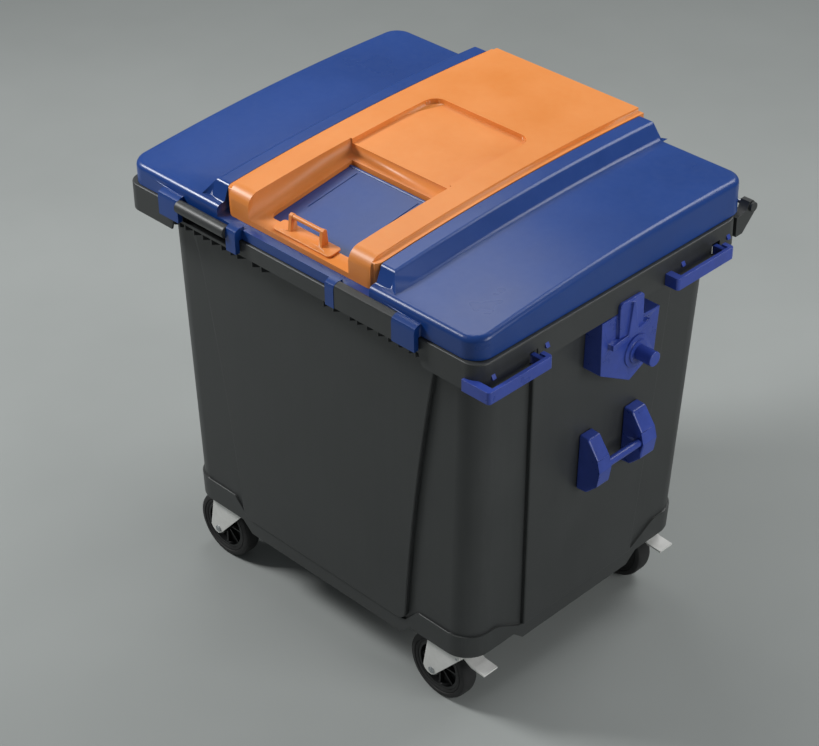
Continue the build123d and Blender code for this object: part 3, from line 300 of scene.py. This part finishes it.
def to_object(name: str, solid: bmesh.types.BMesh, material: bpy.types.Material,
              smooth_to: float = SMOOTH_TO) -> bpy.types.Object:
    """Turn a bmesh into a finished object at the origin.

    Args:
        name: Name of the new piece.
        solid: The geometry in stored-frame metres; it is freed.
        material: Finish of the piece.
        smooth_to: Edges sharper than this many degrees stay sharp.

    Returns:
        The new object, linked to the scene.
    """
    mesh = bpy.data.meshes.new(name)
    solid.to_mesh(mesh)
    solid.free()
    mesh.materials.append(material)
    shade_by_angle(mesh, smooth_to)
    made = bpy.data.objects.new(name, mesh)
    bpy.context.scene.collection.objects.link(made)
    return made


def lathe(solid: bmesh.types.BMesh, profile: list[tuple[float, float]], turn: Matrix,
          steps: int = 72) -> None:
    """Add a turned shape to a bmesh.

    Args:
        solid: The bmesh that receives it.
        profile: Closed line of (along the axis, radius) pairs in millimetres.
        turn: Matrix from the lathe's own Z axis to the stored frame, in metres.
        steps: Facets round the axis.
    """
    rings = []
    for step in range(steps):
        angle = 2 * math.pi * step / steps
        rings.append([solid.verts.new(turn @ Vector((r * MM * math.cos(angle),
                                                     r * MM * math.sin(angle), a * MM)))
                      for a, r in profile])
    faces = []
    count = len(profile)
    for step in range(steps):
        here, there = rings[step], rings[(step + 1) % steps]
        for i in range(count):
            j = (i + 1) % count
            faces.append(solid.faces.new((here[i], there[i], there[j], here[j])))
    bmesh.ops.recalc_face_normals(solid, faces=faces)


def axis_matrix(point: Vector, axis: Vector) -> Matrix:
    """Return the matrix that puts a lathe's Z axis on an axis through a point."""
    return Matrix.Translation(point) @ axis.to_track_quat("Z", "Y").to_matrix().to_4x4()


@dataclass(frozen=True)
class Rounding:
    """One rounding of a piece's edges: how wide, how fine and which edges.

    A clamped rounding is narrowed where short edges leave it too little room.
    """

    radius_mm: float
    segments: int = 2
    sharper_than: float = 38.0
    hollow_too: bool = False
    clamped: bool = True
    wanted: Callable[[bmesh.types.BMEdge], bool] | None = None


@dataclass
class Softener:
    """Copies a frame node, joins its loose triangles and rounds its hard edges.

    Points closer than `merge` metres become one, and faces that meet at less than
    `flat_degrees` become one flat face.
    """

    materials: dict[Slot, bpy.types.Material]
    slots: dict[str, Slot]
    merge: float = 2e-6
    flat_degrees: float = 0.6

    def round_edges(self, solid: bmesh.types.BMesh, rounding: Rounding) -> None:
        """Round the edges that one rounding asks for.

        Args:
            solid: The piece's geometry.
            rounding: How wide and how fine the rounding is, and which edges it takes.
        """
        edges = [e for e in solid.edges if len(e.link_faces) == 2
                 and (e.is_convex or rounding.hollow_too)
                 and e.calc_face_angle(0) > math.radians(rounding.sharper_than)
                 and (rounding.wanted is None or rounding.wanted(e))]
        bmesh.ops.bevel(solid, geom=edges, offset=rounding.radius_mm * MM, offset_type="OFFSET",
                        segments=rounding.segments, affect="EDGES", profile=0.5,
                        clamp_overlap=rounding.clamped, miter_outer="SHARP")
        bmesh.ops.remove_doubles(solid, verts=solid.verts, dist=self.merge)

    def soften(self, node: bpy.types.Object, body: str, roundings: Iterable[Rounding],
               smooth_to: float = SMOOTH_TO) -> bpy.types.Object:
        """Make the shown piece of one node.

        Args:
            node: The frame's node.
            body: The body it belongs to.
            roundings: The roundings of its edges, in the order they are made.
            smooth_to: Edges sharper than this many degrees stay sharp.

        Returns:
            The piece that stands for the node.
        """
        solid = bmesh.new()
        solid.from_mesh(node.data)
        bmesh.ops.remove_doubles(solid, verts=solid.verts, dist=self.merge)
        bmesh.ops.dissolve_limit(solid, angle_limit=math.radians(self.flat_degrees),
                                 verts=solid.verts, edges=solid.edges)
        for rounding in roundings:
            self.round_edges(solid, rounding)
        bmesh.ops.triangulate(solid, faces=[f for f in solid.faces if len(f.verts) > 4])
        slot = self.slots[node.name]
        piece = to_object(f"{node.name}_shown", solid, self.materials[slot], smooth_to)
        even_normals(piece)
        dress(piece, body, [node.name])
        return piece


def dress(piece: bpy.types.Object, body: str, nodes: Iterable[str] = ()) -> None:
    """Tell the frame what a piece rides on and hide the nodes it stands for.

    Args:
        piece: The finished piece.
        body: The body it rides on.
        nodes: The nodes it stands for.
    """
    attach(piece, body)
    if nodes:
        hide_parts(*nodes)
    LOG.info("piece %s rides on %s", piece.name, body)


@dataclass
class ScrewTree:
    """Geometry tree that puts a hexagon head on a round washer on every carrier vertex."""

    material: bpy.types.Material
    name: str = "screw_heads"
    head_sides: int = 6
    head_radius: float = 0.006
    head_height: float = 0.003
    head_lift: float = 0.6
    washer_sides: int = 20
    washer_radius: float = 0.009
    washer_height: float = 0.0012
    washer_share: float = 1.5
    tree: bpy.types.NodeTree = field(init=False)

    def __post_init__(self) -> None:
        """Build the tree with its named sizes."""
        tree = bpy.data.node_groups.new(self.name, "GeometryNodeTree")
        sockets = tree.interface
        sockets.new_socket("Places", in_out="INPUT", socket_type="NodeSocketGeometry")
        for label, value in (("Head radius", self.head_radius), ("Head height", self.head_height),
                             ("Washer radius", self.washer_radius)):
            made = sockets.new_socket(label, in_out="INPUT", socket_type="NodeSocketFloat")
            made.default_value = value
        sockets.new_socket("Turn", in_out="INPUT", socket_type="NodeSocketVector")
        sockets.new_socket("Screws", in_out="OUTPUT", socket_type="NodeSocketGeometry")
        source = add_node(tree, "NodeGroupInput").outputs
        head = add_node(tree, "GeometryNodeMeshCylinder", {}, {
            "Vertices": self.head_sides, "Radius": source["Head radius"],
            "Depth": source["Head height"]})
        washer = add_node(tree, "GeometryNodeMeshCylinder", {}, {
            "Vertices": self.washer_sides, "Radius": source["Washer radius"],
            "Depth": self.washer_height})
        rise = add_node(tree, "ShaderNodeCombineXYZ", {}, {
            2: add_node(tree, "ShaderNodeMath", {"operation": "MULTIPLY"}, {
                0: source["Head height"], 1: self.head_lift}).outputs[0]})
        lifted = add_node(tree, "GeometryNodeTransform", {}, {
            "Geometry": head.outputs[0], "Translation": rise.outputs[0]})
        both = add_node(tree, "GeometryNodeJoinGeometry")
        tree.links.new(lifted.outputs[0], both.inputs[0])
        tree.links.new(washer.outputs[0], both.inputs[0])
        points = add_node(tree, "GeometryNodeMeshToPoints", {}, {0: source["Places"]})
        spread = add_node(tree, "GeometryNodeInstanceOnPoints", {}, {
            "Points": points.outputs[0], "Instance": both.outputs[0],
            "Rotation": source["Turn"]})
        real = add_node(tree, "GeometryNodeRealizeInstances", {}, {0: spread.outputs[0]})
        painted = add_node(tree, "GeometryNodeSetMaterial", {}, {0: real.outputs[0]})
        painted.inputs["Material"].default_value = self.material
        add_node(tree, "NodeGroupOutput", {}, {0: painted.outputs[0]})
        self.tree = tree

    def grow(self, name: str, places: list[Vector], turn: tuple[float, float, float],
             radius_mm: float, height_mm: float) -> bpy.types.Object:
        """Return a plain mesh object with one screw at every place.

        Args:
            name: Name of the piece.
            places: Screw seats in stored-frame metres.
            turn: Euler angles that lay the heads on their face.
            radius_mm: Radius of the hexagon head.
            height_mm: Height of the head.

        Returns:
            The piece, without a modifier.
        """
        carrier_mesh = bpy.data.meshes.new(f"{name}_places")
        carrier_mesh.from_pydata([tuple(p) for p in places], [], [])
        carrier = bpy.data.objects.new(f"{name}_carrier", carrier_mesh)
        bpy.context.scene.collection.objects.link(carrier)
        modifier = carrier.modifiers.new("screws", "NODES")
        modifier.node_group = self.tree
        wanted = {"Head radius": radius_mm * MM, "Head height": height_mm * MM,
                  "Washer radius": radius_mm * self.washer_share * MM, "Turn": turn}
        for item in self.tree.interface.items_tree:
            if item.item_type == "SOCKET" and item.in_out == "INPUT" and item.name in wanted:
                modifier[item.identifier] = wanted[item.name]
        graph = bpy.context.evaluated_depsgraph_get()
        mesh = bpy.data.meshes.new_from_object(carrier.evaluated_get(graph), depsgraph=graph)
        mesh.name = name
        bpy.data.objects.remove(carrier)
        shade_by_angle(mesh)
        made = bpy.data.objects.new(name, mesh)
        bpy.context.scene.collection.objects.link(made)
        return made


@dataclass
class Kit:
    """What every sub-assembly is built with."""

    frame: dict
    materials: dict[Slot, bpy.types.Material]
    softener: Softener
    screws: ScrewTree

    def body_of(self, node: str) -> str:
        """Return the body a node belongs to."""
        bodies = self.frame["record"]["behaviour"]["bodies"]
        return next(body for body, nodes in bodies.items() if node in nodes)

    def show(self, node: str, radius_mm: float, segments: int = 2,
             first: Iterable[Rounding] = (), smooth_to: float = SMOOTH_TO) -> bpy.types.Object:
        """Show a node: its wide roundings first, then every other hard outer edge.

        Args:
            node: Name of the node.
            radius_mm: Rounding of the hard outer edges; they stay sharp at zero.
            segments: Steps of that rounding.
            first: Wider roundings of chosen edges.
            smooth_to: Edges sharper than this many degrees stay sharp.

        Returns:
            The shown piece.
        """
        last = [Rounding(radius_mm, segments)] if radius_mm else []
        return self.softener.soften(self.frame["nodes"][node], self.body_of(node),
                                    [*first, *last], smooth_to)


@dataclass
class Castors:
    """Four swivel castors: turned tyres with moulded rings, forks, axles and pedals."""

    kit: Kit
    tyre_radius: float = 99.0
    tyre_half: float = 25.0
    core_radius: float = 72.0
    # One side of the tyre from its core outwards: how far in from the face, how far off the core.
    bead: tuple[tuple[float, float], ...] = ((3, 0), (1, 4), (1, 7), (2.2, 8), (2.2, 10), (0, 11))
    # The same side up to the crown: how far in from the face, how far below the tread.
    shoulder: tuple[tuple[float, float], ...] = ((0, 8), (2.4, 3.2), (7, 0.8), (12, 0))
    # Rounding of the hard edges of every castor's pieces, of the braked ones' and of the bolts.
    edges: tuple[tuple[str, float], ...] = (
        ("wheel_core", 0.8), ("castor_fork", 1.2), ("castor_axle", 0.8), ("castor_plate", 0.8),
        ("castor_kingpin", 0.5))
    brake_edges: tuple[tuple[str, float], ...] = (("brake_pedal", 1.5), ("brake_pin", 0.5))
    bolt_edge: float = 0.6
    nut_radius: float = 6.5
    nut_height: float = 1.4
    nut_sink: float = 0.0014
    places: tuple[str, ...] = ("front_left", "front_right", "rear_left", "rear_right")
    braked: tuple[str, ...] = ("front_right", "rear_right")

    def tyre_profile(self) -> list[tuple[float, float]]:
        """Return the tyre's closed section with its rings and rounded tread."""
        side = [(inset - self.tyre_half, self.core_radius + rise) for inset, rise in self.bead]
        side += [(inset - self.tyre_half, self.tyre_radius - drop)
                 for inset, drop in self.shoulder]
        return side + [(-along, radius) for along, radius in reversed(side)]

    def build(self) -> None:
        """Build all the castors' shown pieces."""
        for name in self.places:
            low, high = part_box(f"wheel_tyre_{name}")
            centre = (low + high) / 2
            solid = bmesh.new()
            lathe(solid, self.tyre_profile(), axis_matrix(centre, Vector((0, 1, 0))))
            tyre = to_object(f"tyre_{name}", solid, self.kit.materials[Slot.TYRE])
            dress(tyre, f"wheel_{name}", [f"wheel_tyre_{name}"])
            for piece, radius in self.edges:
                self.kit.show(f"{piece}_{name}", radius)
            self.nuts(name, centre)
            if name in self.braked:
                for piece, radius in self.brake_edges:
                    self.kit.show(f"{piece}_{name}", radius)
        self.kit.show("castor_bolts", self.bolt_edge)

    def nuts(self, name: str, centre: Vector) -> None:
        """Add the lock nuts on both ends of one axle.

        Args:
            name: Place of the castor.
            centre: Middle of its wheel.
        """
        low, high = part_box(f"castor_axle_{name}")
        ends = ((low.y + self.nut_sink, math.pi / 2), (high.y - self.nut_sink, -math.pi / 2))
        for number, (y, turn) in enumerate(ends, start=1):
            nut = self.kit.screws.grow(f"axle_nut_{name}_{number}",
                                       [Vector((centre.x, y, centre.z))], (turn, 0, 0),
                                       self.nut_radius, self.nut_height)
            dress(nut, f"swivel_{name}")


@dataclass
class Tub:
    """The tub with its drain, rim handles, wall handles, lifting boxes and hinge."""

    kit: Kit
    tub_smooth_to: float = 20.0
    # Rounding of the hard edges of the small pieces, the rim handles and the lifting boxes.
    small_edges: tuple[tuple[str, float], ...] = (
        ("drain_plug", 0.5), ("drain_seal", 0.5), ("hinge_rod", 0.5), ("hinge_caps", 0.5),
        ("rim_handle_clips", 0.5), ("hinge_brackets", 1.2))
    rim_handle_edge: float = 3.5
    trunnion_edge: float = 1.8
    bracket_radius: float = 5.0
    bracket_sharper_than: float = 25.0
    # Length in metres: the edges round a bracket's bore are shorter, its outlines longer.
    long_edge: float = 0.014

    def is_long(self, edge: bmesh.types.BMEdge) -> bool:
        """Tell whether an edge is an outline of a bracket, not part of its bore."""
        return edge.calc_length() > self.long_edge

    def build(self) -> None:
        """Build the tub's shown pieces."""
        self.kit.show("tub", 0.0, smooth_to=self.tub_smooth_to)
        for node, radius in self.small_edges:
            self.kit.show(node, radius)
        for node in ("rim_handle_front", "rim_handle_rear"):
            self.kit.show(node, self.rim_handle_edge, 3)
        for side in ("right", "left"):
            self.kit.show(f"trunnion_plate_{side}", self.trunnion_edge)
            self.kit.show(f"trunnion_pin_{side}", 0.0)
            self.kit.show(f"wall_handle_bar_{side}", 0.0)
            self.kit.show(f"wall_handle_brackets_{side}", 0.0, first=[
                Rounding(self.bracket_radius, 4, self.bracket_sharper_than, clamped=False,
                         wanted=self.is_long)])


@dataclass
class MainLid:
    """The blue lid with its grips.

    Radii are millimetres; the places that tell its edges apart are stored-frame metres.
    """

    kit: Kit
    lid_edge: float = 2.0
    tube_edge: float = 1.0
    plate_edge: float = 2.5
    pin_edge: float = 0.3
    ridge_radius: float = 7.0
    ridge_sharper_than: float = 20.0
    ridge_x: tuple[float, float] = (0.268, 0.350)
    ridge_side: float = 0.290
    ridge_low: float = 1.262
    ridge_upward: float = 0.2
    ear_radius: float = 3.5
    ear_y: float = -0.502

    def on_ridge(self, edge: bmesh.types.BMEdge) -> bool:
        """Tell whether an edge lies on the outer side of a raised ridge."""
        low, high = self.ridge_x
        return (all(low < abs(v.co.x) < high and v.co.z > self.ridge_low for v in edge.verts)
                and any(abs(v.co.x) > self.ridge_side for v in edge.verts)
                and sum(face.normal.z for face in edge.link_faces) > self.ridge_upward)

    def on_ear(self, edge: bmesh.types.BMEdge) -> bool:
        """Tell whether an edge lies on the front of an ear."""
        return all(v.co.y < self.ear_y for v in edge.verts)

    def build(self) -> None:
        """Build the lid's shown pieces."""
        self.kit.show("main_lid", self.lid_edge, first=[
            Rounding(self.ridge_radius, 4, self.ridge_sharper_than, hollow_too=True,
                     clamped=False, wanted=self.on_ridge),
            Rounding(self.ear_radius, 3, wanted=self.on_ear)])
        self.kit.show("grip_tube_left", self.tube_edge)
        self.kit.show("grip_plate_right", self.plate_edge, 3)
        self.kit.show("inner_lid_pins", self.pin_edge)


@dataclass
class InnerLid:
    """The orange inner lid with its flap and handle.

    Radii are millimetres; the height that marks the rails' tops is stored-frame metres.
    """

    kit: Kit
    lid_edge: float = 1.5
    edges: tuple[tuple[str, float], ...] = (
        ("flap", 0.8), ("flap_rod", 0.0), ("flap_handle_base", 1.2), ("flap_handle_bar", 1.0))
    rail_radius: float = 5.0
    rail_low: float = 1.292
    rail_upward: float = 0.5

    def on_top(self, edge: bmesh.types.BMEdge) -> bool:
        """Tell whether an edge lies on top of the rails."""
        return (all(v.co.z > self.rail_low for v in edge.verts)
                and sum(face.normal.z for face in edge.link_faces) > self.rail_upward)

    def build(self) -> None:
        """Build the inner lid's shown pieces."""
        self.kit.show("inner_lid", self.lid_edge, first=[
            Rounding(self.rail_radius, 4, wanted=self.on_top)])
        for node, radius in self.edges:
            self.kit.show(node, radius)


@dataclass(frozen=True)
class Softbox:
    """One square softbox: where it hangs and how wide it is, in metres, and its power in watts."""

    name: str
    place: tuple[float, float, float]
    size: float
    power: float


@dataclass
class Studio:
    """Pale floor, soft light and the camera.

    The camera's place is plan millimetres, its turns are degrees, and its shifts are parts of
    the picture's width.
    """

    floor_size: float = 40.0
    sky: str = "d7dcdf"
    sky_strength: float = 0.22
    aim: tuple[float, float, float] = (0.0, 0.0, 0.6)
    softboxes: tuple[Softbox, ...] = (
        Softbox("key", (-3.4, -2.4, 4.4), 1.4, 215.0),
        Softbox("roof_light", (0.8, 3.4, 4.4), 2.6, 100.0),
        Softbox("roof_sheen", (-1.83, 1.29, 4.1), 1.6, 22.0),
        Softbox("side_fill", (4.6, 0.6, 2.4), 2.4, 85.0))
    camera_place: tuple[float, float, float] = (3488.04, -3474.29, 4041.84)
    yaw: float = 45.78
    pitch: float = 33.43
    roll: float = -1.08
    sensor: float = 36.0
    lens: float = 98.27561
    shift: tuple[float, float] = (0.0021856, -0.0530891)

    def floor(self) -> None:
        """Lay the floor."""
        half = self.floor_size / 2
        solid = bmesh.new()
        corners = ((-half, -half), (half, -half), (half, half), (-half, half))
        solid.faces.new([solid.verts.new((x, y, 0)) for x, y in corners])
        floor = to_object("studio_floor", solid, FLOOR_FINISH.build())

    def hang(self, softbox: Softbox) -> None:
        """Hang one softbox that points at the middle of the container.

        Args:
            softbox: The softbox.
        """
        data = bpy.data.lights.new(softbox.name, "AREA")
        data.shape = "SQUARE"
        data.size = softbox.size
        data.energy = softbox.power
        lamp = bpy.data.objects.new(softbox.name, data)
        bpy.context.scene.collection.objects.link(lamp)
        lamp.location = softbox.place
        lamp.rotation_mode = "QUATERNION"
        aim = Vector(self.aim) - Vector(softbox.place)
        lamp.rotation_quaternion = aim.to_track_quat("-Z", "Y")

    def lights(self) -> None:
        """Light the studio with a pale sky and the softboxes."""
        world = bpy.data.worlds.new("studio")
        world.use_nodes = True
        background = world.node_tree.nodes["Background"]
        background.inputs["Color"].default_value = linear(self.sky)
        background.inputs["Strength"].default_value = self.sky_strength
        bpy.context.scene.world = world
        for softbox in self.softboxes:
            self.hang(softbox)

    def camera(self) -> None:
        """Set up the camera from its place, its turns, its lens and its shifts."""
        yaw, pitch, roll = map(math.radians, (self.yaw, self.pitch, self.roll))
        ahead = Vector((-math.sin(yaw) * math.cos(pitch), math.cos(yaw) * math.cos(pitch),
                        -math.sin(pitch)))
        level = Vector((math.cos(yaw), math.sin(yaw), 0))
        above = level.cross(ahead)
        right = level * math.cos(roll) + above * math.sin(roll)
        up = above * math.cos(roll) - level * math.sin(roll)
        data = bpy.data.cameras.new("camera")
        data.sensor_width = self.sensor
        data.lens = self.lens
        data.shift_x, data.shift_y = self.shift
        camera = bpy.data.objects.new("camera", data)
        bpy.context.scene.collection.objects.link(camera)
        turn = Matrix((right, up, -ahead)).transposed().to_4x4()
        camera.matrix_world = Matrix.Translation(place(*self.camera_place)) @ turn
        bpy.context.scene.camera = camera

    def build(self) -> None:
        """Build floor, lights and camera."""
        self.floor()
        self.lights()
        self.camera()
        bpy.context.scene.view_settings.view_transform = "Standard"


def main() -> None:
    """Build the whole scene round the frame."""
    logging.basicConfig(level=logging.INFO, format="%(message)s")
    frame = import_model()
    materials = {slot: finish.build() for slot, finish in FINISHES.items()}
    slots = {row["node"]: Slot(row["material_slot"]) for row in frame["record"]["subparts"]}
    kit = Kit(frame, materials, Softener(materials, slots), ScrewTree(materials[Slot.ZINC]))
    for assembly in (Castors(kit), Tub(kit), MainLid(kit), InnerLid(kit), Studio()):
        assembly.build()


if __name__ == "__main__":
    main()
